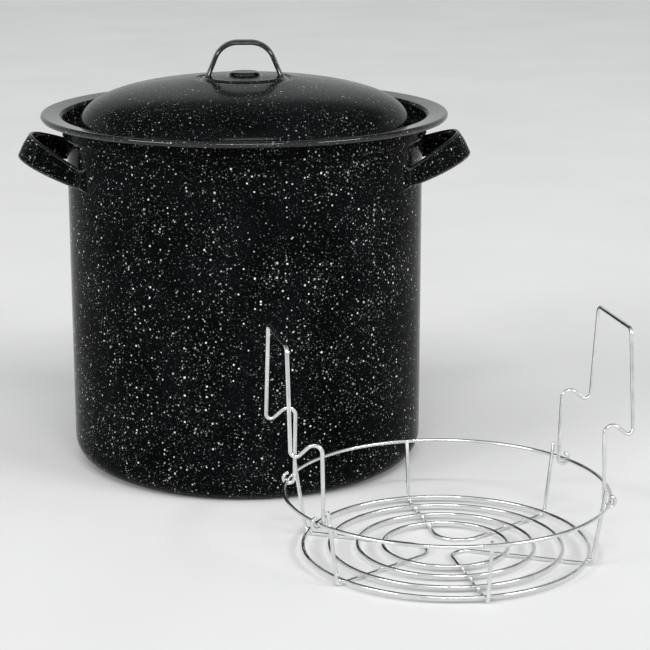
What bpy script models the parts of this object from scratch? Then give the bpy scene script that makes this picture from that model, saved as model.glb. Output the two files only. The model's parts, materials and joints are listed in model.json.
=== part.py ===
"""Water bath canner: an enamelled steel stock pot, its inset lid, and a chromed wire jar rack.

Metres, +Z up. The origin is the centre of the pot's flat base, which stands on Z = 0.
The pot's two side handles are at -X and +X. The rack stands on the same floor, in front of the pot
and to its right, far enough out to be lifted straight up past the pot's rim.
"""

import math

import bmesh
import bpy
from mathutils import Vector

# Clearance kept between neighbouring pieces, and the thickness of the enamelled sheet.
GAP = 0.0003
SHEET = 0.0010
LATHE_SIDES = 40

# Pot.
POT_RADIUS = 0.1405
POT_HEIGHT = 0.281
BASE_CORNER_RADIUS = 0.020
LEDGE_HEIGHT = 0.2621
LEDGE_STEP = 0.0034
RIM_RADIUS = 0.1607
RIM_CURL_RADIUS = 0.0023
RIM_SLOPE_DEG = 7.0
NECK_FILLET_RADIUS = 0.0026

# Lid. Its rolled edge drops inside the pot's mouth and rests on the ledge.
LID_EDGE_RADIUS = 0.1423
LID_CURL_RADIUS = 0.0015
DOME_RADIUS = 0.1310
DOME_HEIGHT = 0.0332
DOME_FLATNESS = 4.4
DOME_SHOULDER = 0.46
CROWN_RADIUS = 0.110
CROWN_RISE = 0.00975
CROWN_POWER = 1.5
GUTTER_BEND_RADIUS = 0.0016
DOME_ABOVE_GUTTER = 0.0008
BOSS_EDGE_RADIUS = 0.0395
BOSS_RADIUS = 0.0310
BOSS_HEIGHT = 0.3073
GROOVE_RADIUS = 0.0350
GROOVE_DEPTH = 0.0024
BUTTON_RADIUS = 0.0142
BUTTON_HEIGHT = 0.0036
BUTTON_BEND_RADIUS = 0.0024
BUTTON_BEND_DEG = 66.0

# Lid handle: a strap bent into an arch, standing on the boss.
ARCH_FOOT_X = 0.0292
ARCH_SHOULDER_X = 0.0178
ARCH_TOP_HEIGHT = 0.3364
ARCH_BEND_RADIUS = 0.019
ARCH_WIDTH = 0.015
ARCH_FOOT_WIDTH = 0.019
ARCH_THICKNESS = 0.0020
ARCH_CROWN = 0.0006

# Side handles: a strap bent into a wide loop that rises away from the pot, with flared feet.
# Each edge's reach and rise swell from the roots to the loop's middle; a power over 1 narrows them.
STRAP_THICKNESS = 0.0018
STRAP_CROWN = 0.0012
LOOP_ROOT_Y = 0.0634
LOOP_LOWER_REACH = 0.0521
LOOP_LOWER_REACH_POWER = 1.12
LOOP_LOWER_ROOT_Z = 0.2297
LOOP_LOWER_RISE = 0.0152
LOOP_LOWER_RISE_POWER = 1.4
LOOP_UPPER_REACH = 0.0417
LOOP_UPPER_ROOT_Z = 0.2445
LOOP_UPPER_RISE = 0.0192
LOOP_UPPER_POWER = 1.5
FOOT_END_DEG = 31.5
FOOT_FLARE_UP = 0.0090
FOOT_FLARE_DOWN = 0.0070
FOOT_STEPS = 3
LOOP_STEPS = 9

# Rack: wire, rings and the three support wires under them.
WIRE = 0.0028
WIRE_BEVEL_RESOLUTION = 1
RACK_CENTRE = Vector((0.140, -0.2410, 0.0))
TOP_RING_RADIUS = 0.115
BASE_RING_RADII = (0.1017, 0.0828, 0.0628, 0.0446)
SUPPORT_WIRE_Z = WIRE / 2
BASE_RING_Z = SUPPORT_WIRE_Z + WIRE + GAP
TOP_RING_Z = BASE_RING_Z + 0.041
RING_STEPS = 40
SUPPORT_SPREAD_DEG = 60.0
SUPPORT_CORNER_RADIUS = 0.0045
STUB_LENGTH = 0.010

# Each support wire: the direction of its middle, the radius of its bend at the rack's centre,
# and whether its first and second ends stand above the top ring to keep a handle in its place.
SUPPORT_WIRES = (
    ("rack_support_wire_back", 70.0, 0.018, (False, True)),
    ("rack_support_wire_front", -50.0, 0.011, (True, False)),
    ("rack_support_wire_left", 190.0, 0.014, (True, True)),
)

# Rack handles: u runs along the hinge axis, h up, and v outward from the axis.
HANDLES = (("rack_handle_right", 10.0), ("rack_handle_left", 190.0))
HANDLE_FOOT_U = 0.0495
HANDLE_LEG_U = 0.0444
HANDLE_VALLEY_U = 0.0449
HANDLE_TOP_U = 0.0331
HANDLE_TOP_H = 0.1193
HOOK_DEPTH = 0.0215
HOOK_SLOPE_DEG = 40.0
HUMP_H = 0.0539
HUMP_RADIUS = 0.0060
VALLEY_RADIUS = 0.0038
GRIP_CORNER_RADIUS = 0.0050
EYE_RADIUS = 0.0040
EYE_WRAP_DEG = 255.0


def clear_scene():
    for obj in list(bpy.data.objects):
        bpy.data.objects.remove(obj, do_unlink=True)


def make_material(name, colour, roughness, metallic):
    material = bpy.data.materials.new(name)
    material.use_nodes = True
    shader = material.node_tree.nodes["Principled BSDF"]
    shader.inputs["Base Color"].default_value = (*colour, 1.0)
    shader.inputs["Roughness"].default_value = roughness
    shader.inputs["Metallic"].default_value = metallic
    return material


def link_object(name, data, material, parent=None):
    obj = bpy.data.objects.new(name, data)
    data.materials.append(material)
    bpy.context.scene.collection.objects.link(obj)
    obj.parent = parent
    return obj


def make_empty(name, location):
    empty = bpy.data.objects.new(name, None)
    empty.empty_display_size = 0.02
    empty.location = location
    bpy.context.scene.collection.objects.link(empty)
    return empty


# ---- Outlines -------------------------------------------------------------------------------


class SheetPath:
    """The middle of a sheet's section, walked like a pen over (radius, height)."""

    def __init__(self, radius, height, heading_deg):
        self.points = [Vector((radius, height))]
        self.heading = math.radians(heading_deg)

    def line(self, length):
        step = Vector((math.cos(self.heading), math.sin(self.heading)))
        self.points.append(self.points[-1] + step * length)

    def bend(self, radius, turn_deg, steps):
        """Follow an arc: a positive turn is to the left, from outward towards up."""
        side = math.copysign(1.0, turn_deg)
        normal = Vector((-math.sin(self.heading), math.cos(self.heading))) * side
        centre = self.points[-1] + normal * radius
        start = self.points[-1] - centre
        turn = math.radians(turn_deg)
        for step in range(1, steps + 1):
            angle = turn * step / steps
            cosine, sine = math.cos(angle), math.sin(angle)
            spoke = Vector((start.x * cosine - start.y * sine, start.x * sine + start.y * cosine))
            self.points.append(centre + spoke)
        self.heading += turn


def fillet_path(corners, step_deg):
    """Points along a polyline whose corners, each with its own radius, are rounded by arcs."""
    points = [corners[0][0]]
    for (before, _), (corner, radius), (after, _) in zip(corners, corners[1:], corners[2:]):
        back = (before - corner).normalized()
        ahead = (after - corner).normalized()
        opening = back.angle(ahead)
        turn = math.pi - opening
        centre = corner + (back + ahead).normalized() * (radius / math.sin(opening / 2))
        start = corner + back * (radius / math.tan(opening / 2))
        spoke = (start - centre).normalized()
        travel = -back
        steps = max(2, math.ceil(math.degrees(turn) / step_deg))
        for step in range(steps + 1):
            angle = turn * step / steps
            points.append(centre + (spoke * math.cos(angle) + travel * math.sin(angle)) * radius)
    points.append(corners[-1][0])
    return points


def thicken(points, thickness):
    """The closed outline of a sheet whose middle runs through the points."""
    left, right = [], []
    last = len(points) - 1
    for index, point in enumerate(points):
        before = points[max(index - 1, 0)]
        after = points[min(index + 1, last)]
        along = (after - before).normalized()
        if index == 0:
            along = Vector((1.0, 0.0))
        normal = Vector((-along.y, along.x)) * (thickness / 2)
        left.append(point + normal)
        right.append(point - normal)
    return right + left[::-1]


def revolve(name, outline, material, parent=None):
    """Turn a closed outline, whose first and last points are on the Z axis, into a solid."""
    mesh = bmesh.new()
    rings = []
    for radius, height in outline:
        if radius < 1e-6:
            rings.append([mesh.verts.new((0.0, 0.0, height))])
            continue
        ring = []
        for side in range(LATHE_SIDES):
            angle = 2 * math.pi * side / LATHE_SIDES
            ring.append(mesh.verts.new((radius * math.cos(angle), radius * math.sin(angle), height)))
        rings.append(ring)
    for inner, outer in zip(rings, rings[1:]):
        for side in range(LATHE_SIDES):
            following = (side + 1) % LATHE_SIDES
            if len(inner) == 1:
                mesh.faces.new((inner[0], outer[side], outer[following]))
            elif len(outer) == 1:
                mesh.faces.new((inner[side], outer[0], inner[following]))
            else:
                mesh.faces.new((inner[side], outer[side], outer[following], inner[following]))
    return finish_mesh(name, mesh, material, parent)


def finish_mesh(name, mesh, material, parent=None):
    bmesh.ops.recalc_face_normals(mesh, faces=mesh.faces)
    data = bpy.data.meshes.new(name)
    mesh.to_mesh(data)
    mesh.free()
    data.shade_smooth()
    data.set_sharp_from_angle(angle=math.radians(40))
    return link_object(name, data, material, parent)


def loft(name, sections, material, parent=None):
    """Join closed sections of equal length into one capped solid."""
    mesh = bmesh.new()
    loops = [[mesh.verts.new(point) for point in section] for section in sections]
    count = len(loops[0])
    for here, there in zip(loops, loops[1:]):
        for index in range(count):
            following = (index + 1) % count
            mesh.faces.new((here[index], here[following], there[following], there[index]))
    mesh.faces.new(loops[0])
    mesh.faces.new(loops[-1])
    bmesh.ops.triangulate(mesh, faces=mesh.faces)
    return finish_mesh(name, mesh, material, parent)


def strap_section(lower, upper, outward, thickness, crown):
    """Six corners of a strap between two edges, its outer face standing out by the crown."""
    middle = (lower + upper) / 2 + outward * crown
    half = outward * (thickness / 2)
    return [lower - half, middle - half, upper - half, upper + half, middle + half, lower + half]


# ---- Pot and lid ----------------------------------------------------------------------------


def make_pot(material):
    half = SHEET / 2
    wall = POT_RADIUS - half
    corner = BASE_CORNER_RADIUS - half
    ledge_bend = LEDGE_STEP / 2
    curl = RIM_CURL_RADIUS - half
    slope = math.radians(RIM_SLOPE_DEG)
    neck = wall + LEDGE_STEP

    flange_start = neck + NECK_FILLET_RADIUS * (1 - math.sin(slope))
    flange_end = RIM_RADIUS - RIM_CURL_RADIUS - curl * math.sin(slope)
    flange = (flange_end - flange_start) / math.cos(slope)
    flange_end_height = POT_HEIGHT - RIM_CURL_RADIUS + curl * math.cos(slope)
    flange_start_height = flange_end_height - flange * math.sin(slope)
    neck_top = flange_start_height - NECK_FILLET_RADIUS * math.cos(slope)

    path = SheetPath(0.0, half, 0.0)
    path.line(wall - corner)
    path.bend(corner, 90, 5)
    path.line(LEDGE_HEIGHT - BASE_CORNER_RADIUS)
    path.bend(ledge_bend, -90, 2)
    path.bend(ledge_bend, 90, 2)
    path.line(neck_top - LEDGE_HEIGHT - LEDGE_STEP)
    path.bend(NECK_FILLET_RADIUS, RIM_SLOPE_DEG - 90, 3)
    path.line(flange)
    path.bend(curl, -240, 6)
    return revolve("pot_body", thicken(path.points, SHEET), material)


def dome_height(radius, base):
    """Height of the lid's dome: flat on top with a steep shoulder, rising a little to the boss."""
    shape = max(1 - (radius / DOME_RADIUS) ** DOME_FLATNESS, 0.0) ** DOME_SHOULDER
    crown = max(1 - radius / CROWN_RADIUS, 0.0) ** CROWN_POWER
    return base + DOME_HEIGHT * shape + CROWN_RISE * crown


def lid_seat_height():
    """Height of the centre of the lid's rolled edge when it rests on the pot's ledge."""
    half = SHEET / 2
    ledge_round = LEDGE_STEP / 2 + half
    sideways = POT_RADIUS - SHEET + ledge_round - (LID_EDGE_RADIUS - LID_CURL_RADIUS)
    touching = ledge_round + LID_CURL_RADIUS + GAP
    return LEDGE_HEIGHT + math.sqrt(touching**2 - sideways**2)


def make_lid(material, parent):
    half = SHEET / 2
    curl = LID_CURL_RADIUS - half
    gutter = lid_seat_height() + curl
    base = gutter + DOME_ABOVE_GUTTER

    centre = SheetPath(0.0, BOSS_HEIGHT + BUTTON_HEIGHT, 0.0)
    centre.line(BUTTON_RADIUS - 2 * BUTTON_BEND_RADIUS * math.sin(math.radians(BUTTON_BEND_DEG)))
    centre.bend(BUTTON_BEND_RADIUS, -BUTTON_BEND_DEG, 2)
    centre.bend(BUTTON_BEND_RADIUS, BUTTON_BEND_DEG, 2)
    points = centre.points
    points.append(Vector((BOSS_RADIUS, BOSS_HEIGHT)))
    points.append(Vector((GROOVE_RADIUS, BOSS_HEIGHT - GROOVE_DEPTH)))

    steps = 10
    first = math.asin(BOSS_EDGE_RADIUS / DOME_RADIUS)
    last = math.radians(86.0)
    for step in range(steps + 1):
        radius = DOME_RADIUS * math.sin(first + (last - first) * step / steps)
        points.append(Vector((radius, dome_height(radius, base))))

    edge = SheetPath(DOME_RADIUS, gutter + GUTTER_BEND_RADIUS, -90.0)
    edge.bend(GUTTER_BEND_RADIUS, 90, 2)
    edge.line(LID_EDGE_RADIUS - LID_CURL_RADIUS - edge.points[-1].x)
    edge.bend(curl, -240, 5)
    points += edge.points
    return revolve("lid_dome", thicken(points, SHEET), material, parent)


def make_lid_handle(material, parent):
    foot_height = BOSS_HEIGHT + SHEET / 2 + GAP
    top = ARCH_TOP_HEIGHT - ARCH_CROWN - ARCH_THICKNESS / 2
    corners = [
        (Vector((-ARCH_FOOT_X, 0.0, foot_height)), 0.0),
        (Vector((-ARCH_SHOULDER_X, 0.0, top)), ARCH_BEND_RADIUS),
        (Vector((ARCH_SHOULDER_X, 0.0, top)), ARCH_BEND_RADIUS),
        (Vector((ARCH_FOOT_X, 0.0, foot_height)), 0.0),
    ]
    points = fillet_path(corners, 12.0)
    sections = []
    last = len(points) - 1
    for index, point in enumerate(points):
        along = points[min(index + 1, last)] - points[max(index - 1, 0)]
        outward = Vector((-along.z, 0.0, along.x)).normalized()
        if index in (0, last):
            outward = Vector((math.copysign(1.0, point.x), 0.0, 0.0))
        low = (top - point.z) / (top - foot_height)
        half = (ARCH_WIDTH + (ARCH_FOOT_WIDTH - ARCH_WIDTH) * low**3) / 2
        side = Vector((0.0, half, 0.0))
        sections.append(strap_section(point - side, point + side, outward, ARCH_THICKNESS, ARCH_CROWN))
    return loft("lid_handle", sections, material, parent)


def loop_edges():
    """The lower and upper edge points of a side handle at +X, from its foot at -Y to that at +Y."""
    root_radius = POT_RADIUS + GAP + STRAP_THICKNESS / 2
    root = math.asin(LOOP_ROOT_Y / root_radius)
    root_x = root_radius * math.cos(root)
    foot_end = math.radians(FOOT_END_DEG)
    edges = []
    for step in range(FOOT_STEPS):
        share = 1 - step / FOOT_STEPS
        angle = root + (foot_end - root) * share
        flare = 1 - math.sqrt(1 - share**2)
        x = root_radius * math.cos(angle)
        y = -root_radius * math.sin(angle)
        lower = Vector((x, y, LOOP_LOWER_ROOT_Z - FOOT_FLARE_DOWN * flare))
        upper = Vector((x, y, LOOP_UPPER_ROOT_Z + FOOT_FLARE_UP * flare))
        edges.append((lower, upper))
    for step in range(LOOP_STEPS + 1):
        share = math.cos(math.pi / 2 * step / LOOP_STEPS)
        bulge = 1 - share**2
        y = -LOOP_ROOT_Y * share
        lower_x = root_x + LOOP_LOWER_REACH * bulge**LOOP_LOWER_REACH_POWER
        upper_x = root_x + LOOP_UPPER_REACH * bulge**LOOP_UPPER_POWER
        lower_z = LOOP_LOWER_ROOT_Z + LOOP_LOWER_RISE * bulge**LOOP_LOWER_RISE_POWER
        upper_z = LOOP_UPPER_ROOT_Z + LOOP_UPPER_RISE * bulge**LOOP_UPPER_POWER
        edges.append((Vector((lower_x, y, lower_z)), Vector((upper_x, y, upper_z))))
    mirror = Vector((1.0, -1.0, 1.0))
    mirrored = [(lower * mirror, upper * mirror) for lower, upper in edges[-2::-1]]
    return edges + mirrored


def make_side_handle(name, side, material):
    """One strap loop: `side` is -1 for the handle at -X and +1 for the one at +X."""
    edges = loop_edges()
    last = len(edges) - 1
    mirror = Vector((side, 1.0, 1.0))
    sections = []
    for index, (lower, upper) in enumerate(edges):
        before = edges[max(index - 1, 0)]
        after = edges[min(index + 1, last)]
        along = after[0] + after[1] - before[0] - before[1]
        outward = along.cross(upper - lower).normalized()
        past_foot = min(index, last - index) - FOOT_STEPS
        crown = STRAP_CROWN * min(max(past_foot / 3, 0.0), 1.0)
        section = strap_section(lower, upper, outward, STRAP_THICKNESS, crown)
        sections.append([point * mirror for point in section])
    return loft(name, sections, material)


# ---- Wire rack ------------------------------------------------------------------------------


def make_wire(name, points, material, parent, closed=False):
    """A round wire along the points, as a curve with a bevel."""
    curve = bpy.data.curves.new(name, "CURVE")
    curve.dimensions = "3D"
    curve.bevel_depth = WIRE / 2
    curve.bevel_resolution = WIRE_BEVEL_RESOLUTION
    curve.use_fill_caps = not closed
    spline = curve.splines.new("POLY")
    spline.points.add(len(points) - 1)
    for target, point in zip(spline.points, points):
        target.co = (*point, 1.0)
    spline.use_cyclic_u = closed
    spline.use_smooth = True
    return link_object(name, curve, material, parent)


def polar(radius, angle_deg, height):
    angle = math.radians(angle_deg)
    return Vector((radius * math.cos(angle), radius * math.sin(angle), height))


def make_ring(name, radius, height, material, parent):
    points = [polar(radius, 360 * step / RING_STEPS, height) for step in range(RING_STEPS)]
    return make_wire(name, points, material, parent, closed=True)


def make_support_wire(name, middle_deg, bend_radius, stubs, material, parent):
    """A hairpin: down from the top ring, in under the base rings, round, out and up again."""
    foot_radius = BASE_RING_RADII[0] + WIRE + GAP
    top_radius = TOP_RING_RADIUS - WIRE - GAP
    rise = TOP_RING_Z - SUPPORT_WIRE_Z
    lean = (top_radius - foot_radius) / rise
    ends = []
    for direction, stub in zip((1, -1), stubs):
        angle = middle_deg + direction * SUPPORT_SPREAD_DEG / 2
        top_z = TOP_RING_Z + (STUB_LENGTH if stub else WIRE / 2)
        tip_radius = top_radius + lean * (top_z - TOP_RING_Z)
        ends.append((polar(tip_radius, angle, top_z), polar(foot_radius, angle, SUPPORT_WIRE_Z)))
    (first_tip, first_foot), (last_tip, last_foot) = ends
    corners = [
        (first_tip, 0.0),
        (first_foot, SUPPORT_CORNER_RADIUS),
        (Vector((0.0, 0.0, SUPPORT_WIRE_Z)), bend_radius),
        (last_foot, SUPPORT_CORNER_RADIUS),
        (last_tip, 0.0),
    ]
    return make_wire(name, fillet_path(corners, 18.0), material, parent)


def make_rack_handle(name, direction_deg, material, parent):
    """A hinged handle: an eye round the top ring, a leg, a hook for the rim, and a grip."""
    leg_v = -EYE_RADIUS
    grip_v = leg_v + HOOK_DEPTH
    slope = math.radians(HOOK_SLOPE_DEG)
    hump_centre_h = HUMP_H - HUMP_RADIUS
    turn = math.radians(90) + slope
    hump_corner_h = hump_centre_h + HUMP_RADIUS * math.tan(turn / 2)
    valley_corner_h = hump_corner_h - HOOK_DEPTH * math.tan(slope)
    corners = [
        (Vector((leg_v, HANDLE_FOOT_U, 0.0)), 0.0),
        (Vector((leg_v, HANDLE_LEG_U, hump_corner_h)), HUMP_RADIUS),
        (Vector((grip_v, HANDLE_VALLEY_U, valley_corner_h)), VALLEY_RADIUS),
        (Vector((grip_v, HANDLE_TOP_U, HANDLE_TOP_H)), GRIP_CORNER_RADIUS),
    ]
    mirrored = [(Vector((c.x, -c.y, c.z)), radius) for c, radius in corners[::-1]]
    side = fillet_path(corners + mirrored, 26.0)

    eye = []
    eye_steps = 10
    for step in range(eye_steps, 0, -1):
        angle = math.radians(EYE_WRAP_DEG * step / eye_steps)
        eye.append(Vector((-EYE_RADIUS * math.cos(angle), HANDLE_FOOT_U, -EYE_RADIUS * math.sin(angle))))
    last_eye = [Vector((point.x, -point.y, point.z)) for point in eye[::-1]]

    handle = make_wire(name, eye + side + last_eye, material, parent)
    pivot = math.sqrt(TOP_RING_RADIUS**2 - HANDLE_FOOT_U**2)
    handle.location = polar(pivot, direction_deg, TOP_RING_Z)
    handle.rotation_euler = (0.0, 0.0, math.radians(direction_deg))
    return handle


def make_rack(material):
    rack = make_empty("rack", RACK_CENTRE)
    make_ring("rack_top_ring", TOP_RING_RADIUS, TOP_RING_Z, material, rack)
    for number, radius in enumerate(BASE_RING_RADII, start=1):
        make_ring(f"rack_base_ring_{number}", radius, BASE_RING_Z, material, rack)
    for name, middle_deg, bend_radius, stubs in SUPPORT_WIRES:
        make_support_wire(name, middle_deg, bend_radius, stubs, material, rack)
    for name, direction_deg in HANDLES:
        make_rack_handle(name, direction_deg, material, rack)


def main():
    clear_scene()
    pot_enamel = make_material("pot_enamel", (0.010, 0.012, 0.013), 0.12, 0.0)
    lid_enamel = make_material("lid_enamel", (0.010, 0.012, 0.013), 0.12, 0.0)
    chrome = make_material("chrome_wire", (0.70, 0.70, 0.72), 0.18, 1.0)

    make_pot(pot_enamel)
    make_side_handle("side_handle_left", -1, pot_enamel)
    make_side_handle("side_handle_right", 1, pot_enamel)
    lid = make_empty("lid", (0.0, 0.0, 0.0))
    make_lid(lid_enamel, lid)
    make_lid_handle(lid_enamel, lid)
    make_rack(chrome)


main()
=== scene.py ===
"""Looks of the water bath canner: fine enamelled shells, a speckled glaze and chromed wire.

Metres, +Z up, the pot standing on Z = 0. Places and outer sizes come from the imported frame; the
finer shape of each piece is worked out here from the same driving dimensions as the CAD model.
"""

import json
import math
import random

import bmesh
import bpy
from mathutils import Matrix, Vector, noise


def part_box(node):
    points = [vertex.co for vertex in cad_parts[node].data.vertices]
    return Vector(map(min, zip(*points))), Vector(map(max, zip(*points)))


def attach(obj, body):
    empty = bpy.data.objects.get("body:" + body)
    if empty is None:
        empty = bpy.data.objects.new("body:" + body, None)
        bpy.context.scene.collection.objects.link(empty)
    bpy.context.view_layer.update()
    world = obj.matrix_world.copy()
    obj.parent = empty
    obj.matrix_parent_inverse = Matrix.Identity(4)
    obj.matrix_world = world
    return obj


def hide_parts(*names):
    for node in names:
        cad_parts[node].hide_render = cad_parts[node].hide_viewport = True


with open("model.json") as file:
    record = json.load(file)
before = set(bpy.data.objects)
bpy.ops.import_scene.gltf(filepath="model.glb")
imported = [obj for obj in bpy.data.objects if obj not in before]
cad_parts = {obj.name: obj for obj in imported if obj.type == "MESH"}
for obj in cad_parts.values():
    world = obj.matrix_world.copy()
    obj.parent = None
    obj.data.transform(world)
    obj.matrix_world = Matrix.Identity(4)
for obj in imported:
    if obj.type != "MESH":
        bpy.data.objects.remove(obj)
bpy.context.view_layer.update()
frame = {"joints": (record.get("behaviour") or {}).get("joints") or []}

# ---- Sizes ----------------------------------------------------------------------------------

_, pot_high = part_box("pot_body")
lid_low, lid_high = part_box("lid_dome")
arch_low, arch_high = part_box("lid_handle")
ring_low, ring_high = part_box("rack_top_ring")
base_ring_low, base_ring_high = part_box("rack_base_ring_1")

SHEET = 0.0010
LATHE_SIDES = 288
# The clearance that the CAD model keeps between neighbouring pieces.
HAIR = 0.0003

POT_RADIUS = 0.1405
POT_HEIGHT = pot_high.z
BASE_CORNER_RADIUS = 0.020
LEDGE_HEIGHT = 0.2621
LEDGE_STEP = 0.0034
RIM_RADIUS = pot_high.x
RIM_CURL_RADIUS = 0.0023
RIM_SLOPE_DEG = 7.0
NECK_FILLET_RADIUS = 0.0026
CURL_TURN_DEG = 240.0

LID_EDGE_RADIUS = lid_high.x
LID_CURL_RADIUS = 0.0015
GUTTER_BEND_RADIUS = 0.0016
DOME_ABOVE_GUTTER = 0.0008
DOME_RADIUS = 0.1310
DOME_HEIGHT = 0.0332
DOME_FLATNESS = 4.4
DOME_SHOULDER = 0.46
DOME_FOOT_DEG = 87.5
CROWN_RADIUS = 0.110
CROWN_RISE = 0.00975
CROWN_POWER = 1.5
BOSS_EDGE_RADIUS = 0.0395
BOSS_RADIUS = 0.0310
BOSS_HEIGHT = 0.3073
GROOVE_RADIUS = 0.0350
GROOVE_DEPTH = 0.0024
BUTTON_RADIUS = 0.0142
BUTTON_HEIGHT = 0.0036
BUTTON_BEND_RADIUS = 0.0024
BUTTON_BEND_DEG = 66.0
BUTTON_SLOPE = math.sin(math.radians(BUTTON_BEND_DEG))
BUTTON_FLAT_RADIUS = BUTTON_RADIUS - 2 * BUTTON_BEND_RADIUS * BUTTON_SLOPE

ARCH_FOOT_X = 0.0292
ARCH_SHOULDER_X = 0.0178
ARCH_BEND_RADIUS = 0.019
ARCH_WIDTH = 0.015
ARCH_FOOT_WIDTH = 0.019
ARCH_THICKNESS = 0.0020
ARCH_CROWN = 0.0006
ARCH_EDGE_DROP = 0.0010
ARCH_EDGE_RADIUS = 0.0014
ARCH_WELD_START = 0.90
ARCH_WELD_SWELL = 0.9

STRAP_THICKNESS = 0.0018
STRAP_CROWN = 0.0012
STRAP_EDGE_RADIUS = 0.0012
LOOP_ROOT_Y = 0.0634
LOOP_LOWER_REACH = 0.0521
LOOP_UPPER_REACH = 0.0417
LOOP_LOWER_ROOT_Z = 0.2297
LOOP_LOWER_RISE = 0.0152
LOOP_UPPER_ROOT_Z = 0.2445
LOOP_UPPER_RISE = 0.0192
LOOP_LOWER_REACH_POWER = 1.12
LOOP_LOWER_RISE_POWER = 1.4
LOOP_UPPER_POWER = 1.5
FOOT_END_DEG = 31.5
FOOT_FLARE_UP = 0.0090
FOOT_FLARE_DOWN = 0.0070
FOOT_FLAT_SHARE = 0.25
# A strap lies flat on the wall. Its crown and rolled edges grow as its middle leaves the wall.
STRAP_LIFT_OFF = 0.001
STRAP_CROWN_RUN = 0.008
STRAP_ROLL_RUN = 0.004

WIRE = 0.0028
WIRE_SIDES = 16
RACK_CENTRE = (ring_low + ring_high) / 2
TOP_RING_RADIUS = (ring_high.x - ring_low.x - WIRE) / 2
TOP_RING_Z = RACK_CENTRE.z
BASE_RING_Z = (base_ring_low.z + base_ring_high.z) / 2
BASE_RING_COUNT = 4
SUPPORT_WIRE_Z = WIRE / 2
SUPPORT_SPREAD_DEG = 60.0
SUPPORT_CORNER_RADIUS = 0.0045
STUB_LENGTH = 0.010
SEAM_SWELL = 0.10
SEAM_LENGTH = 0.0022
TOP_RING_SEAM_DEG = 322.0
BASE_RING_SEAM_DEG = 15.0
BASE_RING_SEAM_STEP_DEG = 60.0
# Direction of each support wire's middle, bend radius at the centre, and which ends are stubs
# that stand above the top ring just outside a handle's feet.
SUPPORT_WIRES = (
    ("rack_support_wire_back", 70.0, 0.018, (False, True)),
    ("rack_support_wire_front", -50.0, 0.011, (True, False)),
    ("rack_support_wire_left", 190.0, 0.014, (True, True)),
)

HANDLE_FOOT_U = 0.0495
HANDLE_LEG_U = 0.0444
HANDLE_VALLEY_U = 0.0449
HANDLE_TOP_U = 0.0331
HANDLE_TOP_H = 0.1193
HOOK_DEPTH = 0.0215
HOOK_SLOPE_DEG = 40.0
HUMP_H = 0.0539
HUMP_RADIUS = 0.0060
VALLEY_RADIUS = 0.0038
GRIP_CORNER_RADIUS = 0.0050
EYE_RADIUS = 0.0040
EYE_WRAP_DEG = 255.0

# Half sizes of the welds under the base rings, outside the widest of them and on the top ring.
UNDER_WELD = (0.0017, 0.0017, 0.0013)
OUTER_WELD = (0.0014, 0.0014, 0.0013)
TOP_WELD = (0.0015, 0.0015, 0.0014)
WELD_UNEVENNESS = 0.22
WELD_LUMPS = 1.7
WELD_SEED = 7
WELD_SEED_SPAN = 50

CAMERA_PLACE = Vector((0.0, -1.6, 0.517))
CAMERA_AIM = Vector((0.0635, 0.0, 0.1045))
CAMERA_LENS = 112.5
CAMERA_SENSOR = 36.0
CAMERA_RANGE = (0.05, 100.0)

# Brightness of the studio by height above the horizon in degrees: the half behind the pot has a
# bright backdrop under a dim ceiling, and the half before it is bright nearly to the top.
AIR_BEHIND = ((0.0, 0.64), (14.0, 0.64), (23.0, 0.60), (33.0, 0.16), (90.0, 0.16))
AIR_BEFORE = ((0.0, 0.70), (30.0, 0.85), (70.0, 0.85), (90.0, 0.30))
AIR_BLEND = 0.35
AIR_COLOUR = (0.97, 0.99, 1.0, 1)

# Name, place, width and height of each strip light. All have one power and one aim.
STRIPS = (
    ("left_strip", (-5.5, -3.75, 3.45), 3.25, 0.65),
    ("right_strip", (5.5, -3.75, 3.45), 3.25, 0.65),
    ("front_strip", (0.25, -5.0, 5.45), 4.0, 0.45),
)
STRIP_POWER = 165
STRIP_AIM = (0.0, 0.0, 0.2)
FLOOR_SIZE = 20.0
FLOOR_DROP = 0.0002


# ---- Materials ------------------------------------------------------------------------------

# Spacing of each layer of flecks, their largest size, and how white the whitest one is.
POT_FLECKS = ((0.0013, 0.00041, 0.17), (0.0021, 0.00056, 0.48), (0.0041, 0.00092, 1.00))
LID_FLECKS = ((0.0013, 0.00037, 0.20), (0.0021, 0.00049, 0.48), (0.0048, 0.00074, 0.85))

# A layer's smallest and dimmest fleck, as shares of its largest and whitest one.
FLECK_LEAST_SIZE = 0.35
FLECK_LEAST_LEVEL = 0.25
FLECK_SOFT_EDGE = 0.00013
FLECK_COLOUR = (0.80, 0.83, 0.80, 1)
FLECK_LAYER_SEED = 0.37
# How far the flecks' outlines wander, and over what distance.
WANDER_REACH = 0.00055
WANDER_SIZE = 0.0011
# Patches where the flecks are smaller or larger.
CROWD_SIZE = 0.030
CROWD_LEAST, CROWD_MOST = 0.72, 1.16

GLAZE_SIZE = 0.045
GLAZE_DARK = (0.0010, 0.0012, 0.0013, 1)
GLAZE_LIGHT = (0.0030, 0.0034, 0.0039, 1)
SMUDGE_SIZE = 0.024
PEEL_SIZE = 0.0075
PEEL_DEPTH = 0.00006
PEEL_STRENGTH = 0.5

PLATING_SIZE = 0.010
PLATING_DARK = (0.66, 0.67, 0.68, 1)
PLATING_LIGHT = (0.86, 0.86, 0.85, 1)
PLATING_SMOOTHEST = 0.09
DRAWN_MARK_SIZE = 0.0009
DRAWN_MARK_DEPTH = 0.00002
DRAWN_MARK_STRENGTH = 0.35

FLOOR_PATCH_SIZE = 0.25
FLOOR_DARK = (0.82, 0.82, 0.81, 1)
FLOOR_LIGHT = (0.86, 0.86, 0.85, 1)
FLOOR_SMOOTHEST, FLOOR_DULLEST = 0.80, 0.92
FLOOR_IOR = 1.2


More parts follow.
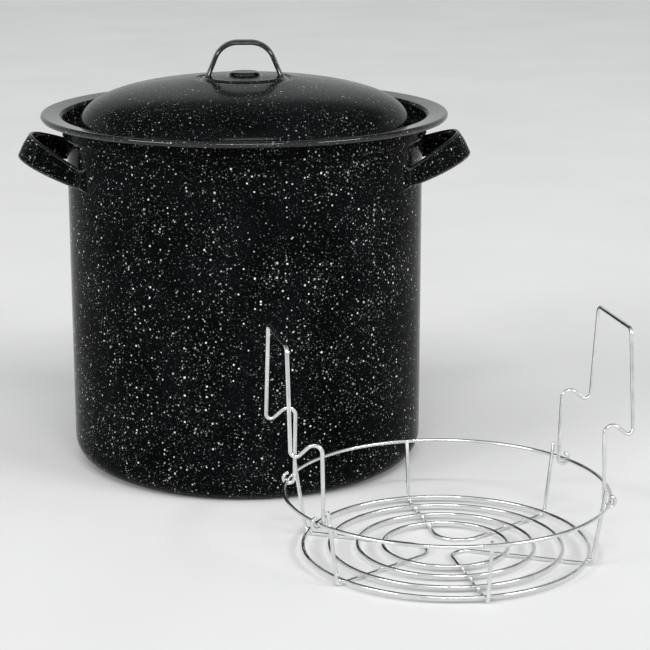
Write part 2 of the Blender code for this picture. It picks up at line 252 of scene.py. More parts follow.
class Nodes:
    """A short way to add and join the nodes of one material."""

    def __init__(self, name):
        self.material = bpy.data.materials.new(name)
        self.material.use_nodes = True
        self.tree = self.material.node_tree
        self.shader = self.tree.nodes["Principled BSDF"]
        self.place = self.add("ShaderNodeTexCoord").outputs["Object"]

    def add(self, kind, **settings):
        node = self.tree.nodes.new(kind)
        for key, value in settings.items():
            setattr(node, key, value)
        return node

    def feed(self, socket, value):
        if isinstance(value, bpy.types.NodeSocket):
            self.tree.links.new(value, socket)
        else:
            socket.default_value = value

    def math(self, operation, first, second=0.0, clamp=False):
        node = self.add("ShaderNodeMath", operation=operation, use_clamp=clamp)
        self.feed(node.inputs[0], first)
        self.feed(node.inputs[1], second)
        return node.outputs[0]

    def noise(self, size, detail):
        """Noise from 0 to 1 whose features are about `size` metres across."""
        node = self.add("ShaderNodeTexNoise")
        self.feed(node.inputs["Vector"], self.place)
        node.inputs["Scale"].default_value = 1 / size
        node.inputs["Detail"].default_value = detail
        return node

    def remap(self, value, low, high, to_low=0.0, to_high=1.0):
        node = self.add("ShaderNodeMapRange")
        self.feed(node.inputs["Value"], value)
        node.inputs["From Min"].default_value = low
        node.inputs["From Max"].default_value = high
        node.inputs["To Min"].default_value = to_low
        node.inputs["To Max"].default_value = to_high
        return node.outputs["Result"]

    def mix(self, share, first, second):
        node = self.add("ShaderNodeMix", data_type="RGBA")
        self.feed(node.inputs["Factor"], share)
        self.feed(node.inputs["A"], first)
        self.feed(node.inputs["B"], second)
        return node.outputs["Result"]

    def bump(self, height, distance, strength):
        node = self.add("ShaderNodeBump")
        self.feed(node.inputs["Height"], height)
        node.inputs["Distance"].default_value = distance
        node.inputs["Strength"].default_value = strength
        return node.outputs["Normal"]


def speckle_layer(nodes, place, cell, radius, brightest, crowding, seed):
    """White flecks about one `cell` apart, up to `radius` in size, each with its own brightness."""
    shifted = nodes.add("ShaderNodeVectorMath", operation="ADD")
    nodes.feed(shifted.inputs[0], place)
    shifted.inputs[1].default_value = (seed, seed * 0.7, -seed)
    cells = nodes.add("ShaderNodeTexVoronoi", feature="F1")
    nodes.feed(cells.inputs["Vector"], shifted.outputs[0])
    cells.inputs["Scale"].default_value = 1 / cell
    chance = nodes.add("ShaderNodeSeparateColor")
    nodes.feed(chance.inputs[0], cells.outputs["Color"])
    least = FLECK_LEAST_SIZE * radius / cell
    size = nodes.remap(chance.outputs[0], 0.0, 1.0, least, radius / cell)
    size = nodes.math("MULTIPLY", size, crowding)
    inside = nodes.math("SUBTRACT", size, cells.outputs["Distance"])
    mask = nodes.math("MULTIPLY", inside, cell / FLECK_SOFT_EDGE, clamp=True)
    level = nodes.remap(chance.outputs[1], 0.0, 1.0, FLECK_LEAST_LEVEL * brightest, brightest)
    return nodes.math("MULTIPLY", mask, level)


def make_enamel(name, layers, seed, ior, smoothest, dullest):
    """Black vitreous enamel: white flecks of several sizes under a clear, slightly wavy gloss."""
    nodes = Nodes(name)
    wobble = nodes.noise(WANDER_SIZE, 1.0)
    spread = nodes.add("ShaderNodeVectorMath", operation="SCALE")
    nodes.feed(spread.inputs[0], wobble.outputs["Color"])
    spread.inputs["Scale"].default_value = WANDER_REACH
    moved = nodes.add("ShaderNodeVectorMath", operation="ADD")
    nodes.feed(moved.inputs[0], nodes.place)
    nodes.feed(moved.inputs[1], spread.outputs[0])
    crowds = nodes.noise(CROWD_SIZE, 3.0).outputs[0]
    crowding = nodes.remap(crowds, 0.30, 0.70, CROWD_LEAST, CROWD_MOST)

    flecks = 0.0
    for index, (cell, radius, brightest) in enumerate(layers):
        layer_seed = seed + FLECK_LAYER_SEED * index
        layer = speckle_layer(
            nodes, moved.outputs[0], cell, radius, brightest, crowding, layer_seed
        )
        flecks = nodes.math("MAXIMUM", flecks, layer)

    depth = nodes.remap(nodes.noise(GLAZE_SIZE, 3.0).outputs[0], 0.35, 0.65)
    glaze = nodes.mix(depth, GLAZE_DARK, GLAZE_LIGHT)
    nodes.feed(nodes.shader.inputs["Base Color"], nodes.mix(flecks, glaze, FLECK_COLOUR))
    smudge = nodes.remap(nodes.noise(SMUDGE_SIZE, 4.0).outputs[0], 0.35, 0.75, smoothest, dullest)
    nodes.feed(nodes.shader.inputs["Roughness"], smudge)
    peel = nodes.noise(PEEL_SIZE, 2.0).outputs[0]
    nodes.feed(nodes.shader.inputs["Normal"], nodes.bump(peel, PEEL_DEPTH, PEEL_STRENGTH))
    nodes.shader.inputs["IOR"].default_value = ior
    return nodes.material


def make_chrome(name, dullest):
    """Bright plated wire: faint drawing marks, and a plating that is a little cloudy in places."""
    nodes = Nodes(name)
    cloud = nodes.noise(PLATING_SIZE, 4.0).outputs[0]
    tone = nodes.remap(cloud, 0.30, 0.70)
    nodes.feed(nodes.shader.inputs["Base Color"], nodes.mix(tone, PLATING_DARK, PLATING_LIGHT))
    roughness = nodes.remap(cloud, 0.30, 0.75, PLATING_SMOOTHEST, dullest)
    nodes.feed(nodes.shader.inputs["Roughness"], roughness)
    marks = nodes.noise(DRAWN_MARK_SIZE, 3.0).outputs[0]
    bump = nodes.bump(marks, DRAWN_MARK_DEPTH, DRAWN_MARK_STRENGTH)
    nodes.feed(nodes.shader.inputs["Normal"], bump)
    nodes.shader.inputs["Metallic"].default_value = 1.0
    return nodes.material


def make_floor_material():
    """Plain matt card, very slightly patchy."""
    nodes = Nodes("pale_floor")
    tone = nodes.remap(nodes.noise(FLOOR_PATCH_SIZE, 3.0).outputs[0], 0.3, 0.7)
    nodes.feed(nodes.shader.inputs["Base Color"], nodes.mix(tone, FLOOR_DARK, FLOOR_LIGHT))
    roughness = nodes.remap(tone, 0.0, 1.0, FLOOR_SMOOTHEST, FLOOR_DULLEST)
    nodes.feed(nodes.shader.inputs["Roughness"], roughness)
    nodes.shader.inputs["IOR"].default_value = FLOOR_IOR
    return nodes.material


# The last four values are the seed, the strength of the gloss as an IOR, and the least and most
# roughness. The glaze is glossiest on the pot's rim and on rolled edges, where it pools. On the wall
# and the dome the gloss is weaker than real enamel's, because the whole room here is pale.
pot_enamel = make_enamel("speckled_pot_enamel", POT_FLECKS, 0.11, 1.07, 0.11, 0.17)
pot_edge_enamel = make_enamel("pooled_pot_enamel", LID_FLECKS, 0.29, 1.50, 0.03, 0.06)
lid_enamel = make_enamel("speckled_lid_enamel", LID_FLECKS, 0.83, 1.13, 0.14, 0.19)
lid_edge_enamel = make_enamel("pooled_lid_enamel", LID_FLECKS, 0.47, 1.50, 0.03, 0.06)
# The value is the most roughness.
chrome = make_chrome("chromed_wire", 0.20)
weld_chrome = make_chrome("chromed_weld", 0.34)


# ---- Outlines and solids --------------------------------------------------------------------

LEAST_BEND_STEPS = 4
BEND_STEP_DEG = 9
# How far a sheet's cut edge is rounded out, as a share of half its thickness.
CUT_EDGE_ROUND = 0.8
# How a wire's end is rounded over: how many rings, how many more would make a whole quarter turn,
# and how far the end stands out, as a share of the wire's radius.
WIRE_END_RINGS = 3
WIRE_END_SHORT = 0.4
WIRE_END_REACH = 0.45
# Points nearer to the axis than this are on it.
ON_AXIS = 1e-6


class SheetPath:
    """The middle of a sheet's section, walked like a pen over (radius, height)."""

    def __init__(self, radius, height, heading_deg):
        self.points = [Vector((radius, height))]
        self.heading = math.radians(heading_deg)

    def line(self, length, steps=1):
        step = Vector((math.cos(self.heading), math.sin(self.heading))) * (length / steps)
        for _ in range(steps):
            self.points.append(self.points[-1] + step)

    def bend(self, radius, turn_deg):
        """Follow an arc: a positive turn is to the left, from outward towards up."""
        side = math.copysign(1.0, turn_deg)
        normal = Vector((-math.sin(self.heading), math.cos(self.heading))) * side
        centre = self.points[-1] + normal * radius
        start = self.points[-1] - centre
        turn = math.radians(turn_deg)
        steps = max(LEAST_BEND_STEPS, round(abs(turn_deg) / BEND_STEP_DEG))
        for step in range(1, steps + 1):
            angle = turn * step / steps
            cosine, sine = math.cos(angle), math.sin(angle)
            spoke = Vector((start.x * cosine - start.y * sine, start.x * sine + start.y * cosine))
            self.points.append(centre + spoke)
        self.heading += turn


def thicken(points, thickness):
    """The closed outline of a sheet whose middle runs through the points."""
    left, right = [], []
    last = len(points) - 1
    for index, point in enumerate(points):
        along = (points[min(index + 1, last)] - points[max(index - 1, 0)]).normalized()
        if index == 0:
            along = Vector((1.0, 0.0))
        normal = Vector((-along.y, along.x)) * (thickness / 2)
        left.append(point + normal)
        right.append(point - normal)
    end = (left[-1] + right[-1]) / 2 + along * (thickness / 2) * CUT_EDGE_ROUND
    return right + [end] + left[::-1]


def finish_piece(name, mesh, *materials):
    """Turn the mesh into an object, smooth-shaded, with its normals outward."""
    bmesh.ops.recalc_face_normals(mesh, faces=mesh.faces)
    data = bpy.data.meshes.new(name)
    mesh.to_mesh(data)
    mesh.free()
    data.shade_smooth()
    piece = bpy.data.objects.new(name, data)
    for material in materials:
        piece.data.materials.append(material)
    bpy.context.scene.collection.objects.link(piece)
    return piece


def revolve(name, outline, wall_material, edge_material, is_edge):
    """Turn a closed outline, whose first and last points are on the Z axis, into a solid."""
    mesh = bmesh.new()
    rings = []
    for radius, height in outline:
        if radius < ON_AXIS:
            rings.append([mesh.verts.new((0.0, 0.0, height))])
            continue
        ring = []
        for side in range(LATHE_SIDES):
            angle = 2 * math.pi * side / LATHE_SIDES
            ring.append(mesh.verts.new((radius * math.cos(angle), radius * math.sin(angle), height)))
        rings.append(ring)
    middles = [(here + there) / 2 for here, there in zip(outline, outline[1:])]
    for inner, outer, middle in zip(rings, rings[1:], middles):
        for side in range(LATHE_SIDES):
            following = (side + 1) % LATHE_SIDES
            if len(inner) == 1:
                face = mesh.faces.new((inner[0], outer[side], outer[following]))
            elif len(outer) == 1:
                face = mesh.faces.new((inner[side], outer[0], inner[following]))
            else:
                face = mesh.faces.new((inner[side], outer[side], outer[following], inner[following]))
            face.material_index = int(is_edge(middle))
    return finish_piece(name, mesh, wall_material, edge_material)


def loft(name, sections, materials, closed=False, edge_faces=()):
    """Join closed sections of equal length into one solid, capped unless it closes on itself.

    The faces whose place in the section is in `edge_faces` get the second material.
    """
    mesh = bmesh.new()
    loops = [[mesh.verts.new(point) for point in section] for section in sections]
    count = len(loops[0])
    pairs = list(zip(loops, loops[1:]))
    if closed:
        pairs.append((loops[-1], loops[0]))
    for here, there in pairs:
        for index in range(count):
            following = (index + 1) % count
            face = mesh.faces.new((here[index], here[following], there[following], there[index]))
            face.material_index = int(index in edge_faces)
    if not closed:
        for loop in (loops[0], loops[-1]):
            middle = mesh.verts.new(sum((vertex.co for vertex in loop), Vector()) / count)
            for index in range(count):
                mesh.faces.new((loop[index], loop[(index + 1) % count], middle))
    return finish_piece(name, mesh, *materials)


# Points across a strap's face: how far each is from the rolled edge's middle, in edge radii.
ROLL_STEPS = (0.0, 0.3, 0.6, 1.0, 1.5, 2.2)
MIDDLE_STEP = 4.0
ROUND_STEPS = 8
STRAP_ROW = 2 * len(ROLL_STEPS) + 1
# The faces of a strap's section that belong to its two rolled edges.
STRAP_EDGE_FACES = tuple(
    half * (STRAP_ROW + ROUND_STEPS - 1) + index
    for half in (0, 1)
    for index in (0, 1, *range(STRAP_ROW - 3, STRAP_ROW + ROUND_STEPS - 1))
)


def strap_section(lower, upper, outward, thickness, crown, edge_radius):
    """Outline of a strap between two edges: rolled edges, and a middle that stands out."""
    across = upper - lower
    half_width = across.length / 2
    across.normalize()
    centre = (lower + upper) / 2
    edge_radius = max(edge_radius, thickness / 2)
    reach = half_width - edge_radius
    inner = [(reach - step * edge_radius, step) for step in ROLL_STEPS]
    row = [(-u, step) for u, step in inner] + [(0.0, MIDDLE_STEP)] + inner[::-1]
    outline = []
    for u, step in row:
        outline.append((u, thickness / 2 + (edge_radius - thickness / 2) * math.exp(-(step**2))))
    for step in range(1, ROUND_STEPS):
        angle = math.pi * step / ROUND_STEPS
        outline.append((reach + edge_radius * math.sin(angle), edge_radius * math.cos(angle)))
    outline += [(-u, -v) for u, v in outline]
    section = []
    for u, v in outline:
        lift = v + crown * (1 - (u / half_width) ** 2)
        section.append(centre + across * u + outward * lift)
    return section


def fillet_path(corners, step_deg):
    """Points along a polyline whose corners, each with its own radius, are rounded by arcs."""
    points = [corners[0][0]]
    for (before, _), (corner, radius), (after, _) in zip(corners, corners[1:], corners[2:]):
        back = (before - corner).normalized()
        ahead = (after - corner).normalized()
        opening = back.angle(ahead)
        turn = math.pi - opening
        centre = corner + (back + ahead).normalized() * (radius / math.sin(opening / 2))
        start = corner + back * (radius / math.tan(opening / 2))
        spoke = (start - centre).normalized()
        travel = -back
        steps = max(3, math.ceil(math.degrees(turn) / step_deg))
        for step in range(steps + 1):
            angle = turn * step / steps
            points.append(centre + (spoke * math.cos(angle) + travel * math.sin(angle)) * radius)
    points.append(corners[-1][0])
    return points


def tube(name, points, material, closed=False, radii=None):
    """A round wire along the points. Open ends are rounded over; `radii` may vary its thickness."""
    count = len(points)
    radii = radii or [WIRE / 2] * count
    centres = list(points)
    if not closed:
        radius = WIRE / 2
        head = (points[0] - points[1]).normalized()
        tail = (points[-1] - points[-2]).normalized()
        for step in range(1, WIRE_END_RINGS + 1):
            angle = math.pi / 2 * step / (WIRE_END_RINGS + WIRE_END_SHORT)
            reach = WIRE_END_REACH * radius * math.sin(angle)
            centres.insert(0, points[0] + head * reach)
            centres.append(points[-1] + tail * reach)
            radii = [radius * math.cos(angle)] + radii + [radius * math.cos(angle)]
    last = len(centres) - 1
    tangents = []
    for index in range(last + 1):
        before = centres[index - 1 if closed or index else 0]
        after = centres[(index + 1) % (last + 1) if closed else min(index + 1, last)]
        tangents.append((after - before).normalized())
    side = tangents[0].orthogonal().normalized()
    if closed:
        side = Vector((0.0, 0.0, 1.0))
    sections = []
    for centre, tangent, radius in zip(centres, tangents, radii):
        side = (side - tangent * side.dot(tangent)).normalized()
        other = tangent.cross(side)
        section = []
        for corner in range(WIRE_SIDES):
            angle = 2 * math.pi * corner / WIRE_SIDES
            section.append(centre + (side * math.cos(angle) + other * math.sin(angle)) * radius)
        sections.append(section)
    return loft(name, sections, (material,), closed)


def smooth_step(value):
    """From 0 to 1 with a level start and end."""
    value = min(max(value, 0.0), 1.0)
    return value * value * (3 - 2 * value)


def polar(radius, angle_deg, height):
    """A point round the rack's own axis."""
    angle = math.radians(angle_deg)
    return Vector((
        RACK_CENTRE.x + radius * math.cos(angle), RACK_CENTRE.y + radius * math.sin(angle), height
    ))


# ---- Pot and lid ----------------------------------------------------------------------------


def make_pot():
    """From the axis outward: base, corner, wall, ledge, neck, sloping rim and rolled bead."""
    half = SHEET / 2
    wall = POT_RADIUS - half
    corner = BASE_CORNER_RADIUS - half
    ledge_bend = LEDGE_STEP / 2
    curl = RIM_CURL_RADIUS - half
    slope = math.radians(RIM_SLOPE_DEG)
    neck = wall + LEDGE_STEP

    flange_start = neck + NECK_FILLET_RADIUS * (1 - math.sin(slope))
    flange_end = RIM_RADIUS - RIM_CURL_RADIUS - curl * math.sin(slope)
    flange = (flange_end - flange_start) / math.cos(slope)
    flange_end_height = POT_HEIGHT - RIM_CURL_RADIUS + curl * math.cos(slope)
    flange_start_height = flange_end_height - flange * math.sin(slope)
    neck_top = flange_start_height - NECK_FILLET_RADIUS * math.cos(slope)

    path = SheetPath(0.0, half, 0.0)
    path.line(wall - corner, 6)
    path.bend(corner, 90)
    path.line(LEDGE_HEIGHT - BASE_CORNER_RADIUS, 8)
    path.bend(ledge_bend, -90)
    path.bend(ledge_bend, 90)
    path.line(neck_top - LEDGE_HEIGHT - LEDGE_STEP)
    path.bend(NECK_FILLET_RADIUS, RIM_SLOPE_DEG - 90)
    path.line(flange, 3)
    path.bend(curl, -CURL_TURN_DEG)
    outline = thicken(path.points, SHEET)
    piece = revolve("pot_shell", outline, pot_enamel, pot_edge_enamel, lambda p: p.x > flange_start)
    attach(piece, "pot")
    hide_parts("pot_body")


def dome_height(radius, base):
    """Height of the dome: a steep shoulder, nearly flat inside it, with a low crown on top."""
    shape = max(1 - (radius / DOME_RADIUS) ** DOME_FLATNESS, 0.0) ** DOME_SHOULDER
    crown = max(1 - radius / CROWN_RADIUS, 0.0) ** CROWN_POWER
    return base + DOME_HEIGHT * shape + CROWN_RISE * crown


def boss_height(radius, button_foot, base):
    """Height of the sheet between the button and the dome: a flat boss, then a ring groove."""
    groove = BOSS_HEIGHT - GROOVE_DEPTH
    if radius < BOSS_RADIUS:
        fall = (radius - button_foot.x) / (BOSS_RADIUS - button_foot.x)
        return button_foot.y + (BOSS_HEIGHT - button_foot.y) * smooth_step(fall)
    if radius < GROOVE_RADIUS:
        fall = (radius - BOSS_RADIUS) / (GROOVE_RADIUS - BOSS_RADIUS)
        return BOSS_HEIGHT - GROOVE_DEPTH * smooth_step(fall)
    rise = (radius - GROOVE_RADIUS) / (BOSS_EDGE_RADIUS - GROOVE_RADIUS)
    return groove + (dome_height(BOSS_EDGE_RADIUS, base) - groove) * smooth_step(rise)


def is_lid_edge(point):
    """Where the lid's sheet turns sharply: the rolled edge, the side of the boss and the button."""
    rolled = point.x > LID_EDGE_RADIUS - 2 * LID_CURL_RADIUS
    boss = BOSS_RADIUS < point.x < GROOVE_RADIUS
    button = BUTTON_FLAT_RADIUS < point.x < BUTTON_RADIUS
    return rolled or boss or button


def make_lid():
    """From the axis outward: button, boss, groove, dome, gutter, flange and rolled edge."""
    half = SHEET / 2
    curl = LID_CURL_RADIUS - half
    gutter = lid_low.z + LID_CURL_RADIUS + curl
    base = gutter + DOME_ABOVE_GUTTER

    centre = SheetPath(0.0, BOSS_HEIGHT + BUTTON_HEIGHT, 0.0)
    centre.line(BUTTON_FLAT_RADIUS, 6)
    centre.bend(BUTTON_BEND_RADIUS, -BUTTON_BEND_DEG)
    centre.bend(BUTTON_BEND_RADIUS, BUTTON_BEND_DEG)
    points = centre.points
    button_foot = points[-1]
    boss_steps = 44
    for step in range(1, boss_steps):
        radius = button_foot.x + (BOSS_EDGE_RADIUS - button_foot.x) * step / boss_steps
        points.append(Vector((radius, boss_height(radius, button_foot, base))))
    dome_steps = 64
    first = math.asin(BOSS_EDGE_RADIUS / DOME_RADIUS)
    last = math.radians(DOME_FOOT_DEG)
    for step in range(dome_steps + 1):
        radius = DOME_RADIUS * math.sin(first + (last - first) * step / dome_steps)
        points.append(Vector((radius, dome_height(radius, base))))
    edge = SheetPath(DOME_RADIUS, gutter + GUTTER_BEND_RADIUS, -90.0)
    edge.bend(GUTTER_BEND_RADIUS, 90)
    edge.line(LID_EDGE_RADIUS - LID_CURL_RADIUS - edge.points[-1].x, 2)
    edge.bend(curl, -CURL_TURN_DEG)
    outline = thicken(points + edge.points, SHEET)
    piece = revolve("lid_shell", outline, lid_enamel, lid_edge_enamel, is_lid_edge)
    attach(piece, "lid")
    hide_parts("lid_dome")


def make_lid_handle():
    """The arch: its feet widen, thicken like an enamelled weld, and sink into the boss."""
    foot_height = arch_low.z - 2 * HAIR
    top = arch_high.z - ARCH_CROWN - ARCH_THICKNESS / 2
    corners = [
        (Vector((-ARCH_FOOT_X, 0.0, foot_height)), 0.0),
        (Vector((-ARCH_SHOULDER_X, 0.0, top)), ARCH_BEND_RADIUS),
        (Vector((ARCH_SHOULDER_X, 0.0, top)), ARCH_BEND_RADIUS),
        (Vector((ARCH_FOOT_X, 0.0, foot_height)), 0.0),
    ]
    bends = fillet_path(corners, step_deg=3.0)
    leg_steps = 14
    first_leg = [bends[0].lerp(bends[1], step / leg_steps) for step in range(leg_steps)]
    last_leg = [bends[-2].lerp(bends[-1], (step + 1) / leg_steps) for step in range(leg_steps)]
    points = first_leg + bends[1:-1] + last_leg
    last = len(points) - 1
    sections = []
    for index, point in enumerate(points):
        along = points[min(index + 1, last)] - points[max(index - 1, 0)]
        outward = Vector((-along.z, 0.0, along.x)).normalized()
        low = (top - point.z) / (top - foot_height)
        weld = smooth_step((low - ARCH_WELD_START) / (1 - ARCH_WELD_START))
        half = (ARCH_WIDTH + (ARCH_FOOT_WIDTH - ARCH_WIDTH) * low**3) / 2
        side = Vector((0.0, half, 0.0))
        thickness = ARCH_THICKNESS * (1 + ARCH_WELD_SWELL * weld)
        crown = ARCH_CROWN + ARCH_EDGE_DROP
        place = point - outward * ARCH_EDGE_DROP
        sections.append(
            strap_section(place - side, place + side, outward, thickness, crown, ARCH_EDGE_RADIUS)
        )
    enamels = (lid_enamel, lid_edge_enamel)
    piece = loft("lid_handle_arch", sections, enamels, edge_faces=STRAP_EDGE_FACES)
    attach(piece, "lid")
    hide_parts("lid_handle")


def loop_edges():
    """The lower and upper edge of a side handle at +X, from its foot at -Y to that at +Y."""
    proud = HAIR + STRAP_THICKNESS / 2
    root = math.asin(LOOP_ROOT_Y / (POT_RADIUS + proud))
    root_x = (POT_RADIUS + proud) * math.cos(root)
    foot_end = math.radians(FOOT_END_DEG)
    foot_steps, loop_steps = 16, 40
    edges = []
    for step in range(foot_steps):
        share = 1 - step / foot_steps
        sinking = smooth_step((share - FOOT_FLAT_SHARE) / (1 - FOOT_FLAT_SHARE))
        sunk = (STRAP_THICKNESS + 2 * HAIR) * sinking
        radius = POT_RADIUS + proud - sunk
        angle = root + (foot_end - root) * share
        flare = 1 - math.sqrt(1 - share**2)
        x = radius * math.cos(angle)
        y = -radius * math.sin(angle)
        lower = Vector((x, y, LOOP_LOWER_ROOT_Z - FOOT_FLARE_DOWN * flare))
        upper = Vector((x, y, LOOP_UPPER_ROOT_Z + FOOT_FLARE_UP * flare))
        edges.append((lower, upper))
    for step in range(loop_steps + 1):
        share = math.cos(math.pi / 2 * step / loop_steps)
        bulge = 1 - share**2
        y = -LOOP_ROOT_Y * share
        lower_x = root_x + LOOP_LOWER_REACH * bulge**LOOP_LOWER_REACH_POWER
        upper_x = root_x + LOOP_UPPER_REACH * bulge**LOOP_UPPER_POWER
        lower_z = LOOP_LOWER_ROOT_Z + LOOP_LOWER_RISE * bulge**LOOP_LOWER_RISE_POWER
        upper_z = LOOP_UPPER_ROOT_Z + LOOP_UPPER_RISE * bulge**LOOP_UPPER_POWER
        edges.append((Vector((lower_x, y, lower_z)), Vector((upper_x, y, upper_z))))
    mirror = Vector((1.0, -1.0, 1.0))
    return edges + [(lower * mirror, upper * mirror) for lower, upper in edges[-2::-1]]


def make_side_handle(side_name, side):
    """The strap loop at +X or -X, whichever `side` is."""
    edges = loop_edges()
    last = len(edges) - 1
    mirror = Vector((side, 1.0, 1.0))
    sections = []
    for index, (lower, upper) in enumerate(edges):
        before = edges[max(index - 1, 0)]
        after = edges[min(index + 1, last)]
        along = after[0] + after[1] - before[0] - before[1]
        outward = along.cross(upper - lower).normalized()
        middle = (lower + upper) / 2
        lift = math.hypot(middle.x, middle.y) - POT_RADIUS - STRAP_LIFT_OFF
        crown = STRAP_CROWN * smooth_step(lift / STRAP_CROWN_RUN)
        edge_radius = STRAP_THICKNESS / 2
        edge_radius += (STRAP_EDGE_RADIUS - edge_radius) * smooth_step(lift / STRAP_ROLL_RUN)
        section = strap_section(lower, upper, outward, STRAP_THICKNESS, crown, edge_radius)
        sections.append([point * mirror for point in section])
    enamels = (pot_enamel, pot_edge_enamel)
    piece = loft(f"side_strap_{side_name}", sections, enamels, edge_faces=STRAP_EDGE_FACES)
    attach(piece, "pot")
    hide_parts(f"side_handle_{side_name}")


# ---- Rack -----------------------------------------------------------------------------------


def wire_piece(name, body, node, points, closed=False, radii=None):
    """A chromed wire that rides on `body` and stands for the CAD `node`."""
    piece = tube(name, points, chrome, closed, radii)
    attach(piece, body)
    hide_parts(node)


def make_ring(name, node, radius, height, seam_deg):
    """A ring whose ends are butt-welded: the wire swells a little at the seam."""
    steps = 240
    points = [polar(radius, 360 * step / steps, height) for step in range(steps)]
    radii = []
    for step in range(steps):
        from_seam = (360 * step / steps - seam_deg + 180) % 360 - 180
        arc = math.radians(from_seam) * radius
        radii.append(WIRE / 2 * (1 + SEAM_SWELL * math.exp(-((arc / SEAM_LENGTH) ** 2))))
    wire_piece(name, "rack", node, points, closed=True, radii=radii)


def base_ring_radius(number):
    """Radius of a base ring's centre line. Ring 1 is the widest."""
    low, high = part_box(f"rack_base_ring_{number}")
    return (high.x - low.x - WIRE) / 2


def make_support_wire(node, middle_deg, bend_radius, stubs):
    """A hairpin: down from the top ring, in under the base rings, round the middle and back."""
    foot_radius = base_ring_radius(1) + WIRE + HAIR
    top_radius = TOP_RING_RADIUS - WIRE - HAIR
    lean = (top_radius - foot_radius) / (TOP_RING_Z - SUPPORT_WIRE_Z)
    ends = []
    for direction, stub in zip((1, -1), stubs):
        angle = middle_deg + direction * SUPPORT_SPREAD_DEG / 2
        top_z = TOP_RING_Z + (STUB_LENGTH if stub else WIRE / 2)
        tip_radius = top_radius + lean * (top_z - TOP_RING_Z)
        ends.append((polar(tip_radius, angle, top_z), polar(foot_radius, angle, SUPPORT_WIRE_Z)))
    (first_tip, first_foot), (last_tip, last_foot) = ends
    corners = [
        (first_tip, 0.0),
        (first_foot, SUPPORT_CORNER_RADIUS),
        (polar(0.0, 0.0, SUPPORT_WIRE_Z), bend_radius),
        (last_foot, SUPPORT_CORNER_RADIUS),
        (last_tip, 0.0),
    ]
    wire_piece(f"{node}_fine", "rack", node, fillet_path(corners, step_deg=5.0))


def make_rack_handle(side_name, joint):
    """Eye, leg, rim hook and grip, built in (v outward, u along the hinge, h up) about the hinge."""
    pivot = Vector(joint["pos_m"])
    u_axis = Vector(joint["axis"])
    v_axis = u_axis.cross(Vector((0.0, 0.0, 1.0)))

    leg_v = -EYE_RADIUS
    grip_v = leg_v + HOOK_DEPTH
    slope = math.radians(HOOK_SLOPE_DEG)
    turn = math.radians(90) + slope
    hump_corner_h = HUMP_H - HUMP_RADIUS + HUMP_RADIUS * math.tan(turn / 2)
    valley_corner_h = hump_corner_h - HOOK_DEPTH * math.tan(slope)
    corners = [
        (Vector((leg_v, HANDLE_FOOT_U, 0.0)), 0.0),
        (Vector((leg_v, HANDLE_LEG_U, hump_corner_h)), HUMP_RADIUS),
        (Vector((grip_v, HANDLE_VALLEY_U, valley_corner_h)), VALLEY_RADIUS),
        (Vector((grip_v, HANDLE_TOP_U, HANDLE_TOP_H)), GRIP_CORNER_RADIUS),
    ]
    mirrored = [(Vector((c.x, -c.y, c.z)), radius) for c, radius in corners[::-1]]
    side = fillet_path(corners + mirrored, step_deg=8.0)
    eye = []
    eye_steps = 32
    for step in range(eye_steps, 0, -1):
        angle = math.radians(EYE_WRAP_DEG * step / eye_steps)
        v, h = -EYE_RADIUS * math.cos(angle), -EYE_RADIUS * math.sin(angle)
        eye.append(Vector((v, HANDLE_FOOT_U, h)))
    last_eye = [Vector((point.x, -point.y, point.z)) for point in eye[::-1]]
    local = eye + side + last_eye
    points = [pivot + v_axis * p.x + u_axis * p.y + Vector((0.0, 0.0, p.z)) for p in local]
    body = f"rack_handle_{side_name}"
    wire_piece(f"{body}_fine", body, body, points)


def make_weld(mesh, place, size, seed):
    """One small lump of weld metal, uneven, wider than it is high."""
    ball = bmesh.ops.create_icosphere(mesh, subdivisions=2, radius=1.0)["verts"]
    for vertex in ball:
        direction = vertex.co.copy()
        lumps = noise.noise(direction * WELD_LUMPS + Vector((seed, -seed, seed)))
        uneven = 1 + WELD_UNEVENNESS * lumps
        vertex.co = place + Vector(d * s * uneven for d, s in zip(direction, size))


def make_rack_welds():
    """Welds where a support wire meets each base ring and the top ring."""
    mesh = bmesh.new()
    random.seed(WELD_SEED)
    under_z = (SUPPORT_WIRE_Z + BASE_RING_Z) / 2
    for _, middle_deg, _, _ in SUPPORT_WIRES:
        for direction in (1, -1):
            angle = middle_deg + direction * SUPPORT_SPREAD_DEG / 2
            for number in range(1, BASE_RING_COUNT + 1):
                place = polar(base_ring_radius(number), angle, under_z)
                make_weld(mesh, place, UNDER_WELD, random.uniform(0, WELD_SEED_SPAN))
            outside = polar(base_ring_radius(1) + (WIRE + HAIR) / 2, angle, BASE_RING_Z)
            make_weld(mesh, outside, OUTER_WELD, random.uniform(0, WELD_SEED_SPAN))
            top = polar(TOP_RING_RADIUS - (WIRE + HAIR) / 2, angle, TOP_RING_Z)
            make_weld(mesh, top, TOP_WELD, random.uniform(0, WELD_SEED_SPAN))
    piece = finish_piece("rack_welds", mesh, weld_chrome)
    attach(piece, "rack")


def make_rack():
    """Rings, support wires, handles and welds."""
    make_ring(
        "rack_top_ring_fine", "rack_top_ring", TOP_RING_RADIUS, TOP_RING_Z, TOP_RING_SEAM_DEG
    )
    for number in range(1, BASE_RING_COUNT + 1):
        node = f"rack_base_ring_{number}"
        seam_deg = BASE_RING_SEAM_STEP_DEG * number + BASE_RING_SEAM_DEG
        make_ring(f"{node}_fine", node, base_ring_radius(number), BASE_RING_Z, seam_deg)
    for node, middle_deg, bend_radius, stubs in SUPPORT_WIRES:
        make_support_wire(node, middle_deg, bend_radius, stubs)
    joints = {joint["name"]: joint for joint in frame["joints"]}
    for side_name in ("right", "left"):
        make_rack_handle(side_name, joints[f"rack_handle_{side_name}_hinge"])
    make_rack_welds()


# ---- Studio ---------------------------------------------------------------------------------


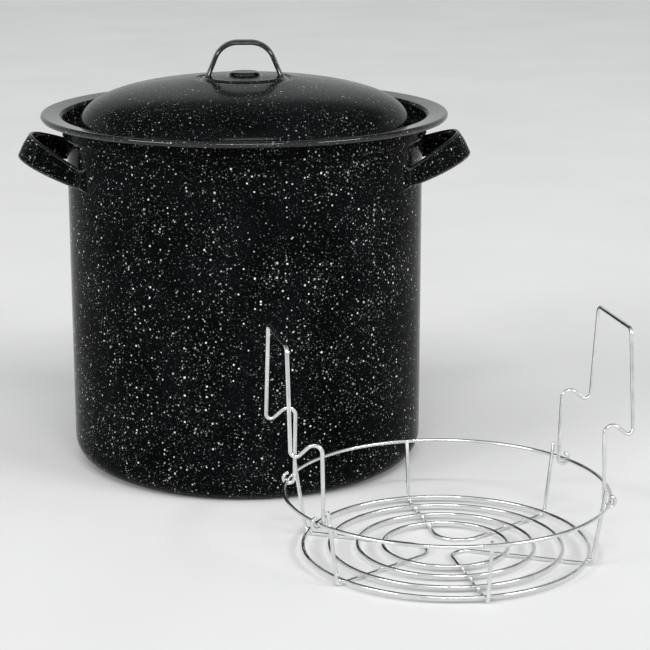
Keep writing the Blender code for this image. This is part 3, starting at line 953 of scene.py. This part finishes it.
def make_floor():
    """A plain sheet just under the object."""
    mesh = bmesh.new()
    bmesh.ops.create_grid(mesh, x_segments=8, y_segments=8, size=FLOOR_SIZE)
    floor = finish_piece("studio_floor", mesh, make_floor_material())
    floor.location.z = -FLOOR_DROP


def make_strip(name, place, width, height):
    """A long soft light turned towards the pot."""
    light = bpy.data.lights.new(name, "AREA")
    light.shape = "RECTANGLE"
    light.size = width
    light.size_y = height
    light.energy = STRIP_POWER
    holder = bpy.data.objects.new(name, light)
    holder.location = place
    holder.rotation_mode = "QUATERNION"
    holder.rotation_quaternion = (Vector(STRIP_AIM) - Vector(place)).to_track_quat("-Z", "Y")
    bpy.context.scene.collection.objects.link(holder)


def add_air(tree, height, stops):
    """Brightness by height above the horizon, through a ramp over the sine of the elevation."""
    ramp = tree.nodes.new("ShaderNodeValToRGB")
    ramp.color_ramp.interpolation = "EASE"
    elements = ramp.color_ramp.elements
    for elevation_deg, _ in stops[1:-1]:
        elements.new(math.sin(math.radians(elevation_deg)))
    for element, (_, brightness) in zip(elements, stops):
        element.color = (brightness, brightness, brightness, 1)
    tree.links.new(height, ramp.inputs["Fac"])
    return ramp.outputs["Color"]


def make_world():
    """The air of the studio, with one brightness in front of the pot and another behind it."""
    world = bpy.data.worlds.new("studio_air")
    bpy.context.scene.world = world
    world.use_nodes = True
    tree = world.node_tree
    background = tree.nodes["Background"]
    direction = tree.nodes.new("ShaderNodeTexCoord")
    split = tree.nodes.new("ShaderNodeSeparateXYZ")
    tree.links.new(direction.outputs["Generated"], split.inputs[0])
    share = tree.nodes.new("ShaderNodeMapRange")
    share.interpolation_type = "SMOOTHSTEP"
    share.inputs["From Min"].default_value = -AIR_BLEND
    share.inputs["From Max"].default_value = AIR_BLEND
    tree.links.new(split.outputs["Y"], share.inputs["Value"])
    blend = tree.nodes.new("ShaderNodeMix")
    tree.links.new(share.outputs["Result"], blend.inputs["Factor"])
    tree.links.new(add_air(tree, split.outputs["Z"], AIR_BEFORE), blend.inputs["A"])
    tree.links.new(add_air(tree, split.outputs["Z"], AIR_BEHIND), blend.inputs["B"])
    tree.links.new(blend.outputs["Result"], background.inputs["Strength"])
    background.inputs["Color"].default_value = AIR_COLOUR


def make_studio():
    make_floor()
    for strip in STRIPS:
        make_strip(*strip)
    make_world()


def make_camera():
    """A long lens in front of the pot, looking slightly down."""
    data = bpy.data.cameras.new("camera")
    data.lens = CAMERA_LENS
    data.sensor_width = CAMERA_SENSOR
    data.clip_start, data.clip_end = CAMERA_RANGE
    camera = bpy.data.objects.new("camera", data)
    camera.location = CAMERA_PLACE
    camera.rotation_mode = "QUATERNION"
    camera.rotation_quaternion = (CAMERA_AIM - CAMERA_PLACE).to_track_quat("-Z", "Y")
    bpy.context.scene.collection.objects.link(camera)
    bpy.context.scene.camera = camera


make_camera()
make_pot()
make_lid()
make_lid_handle()
make_side_handle("left", -1)
make_side_handle("right", 1)
make_rack()
make_studio()
bpy.context.scene.view_settings.view_transform = "Standard"
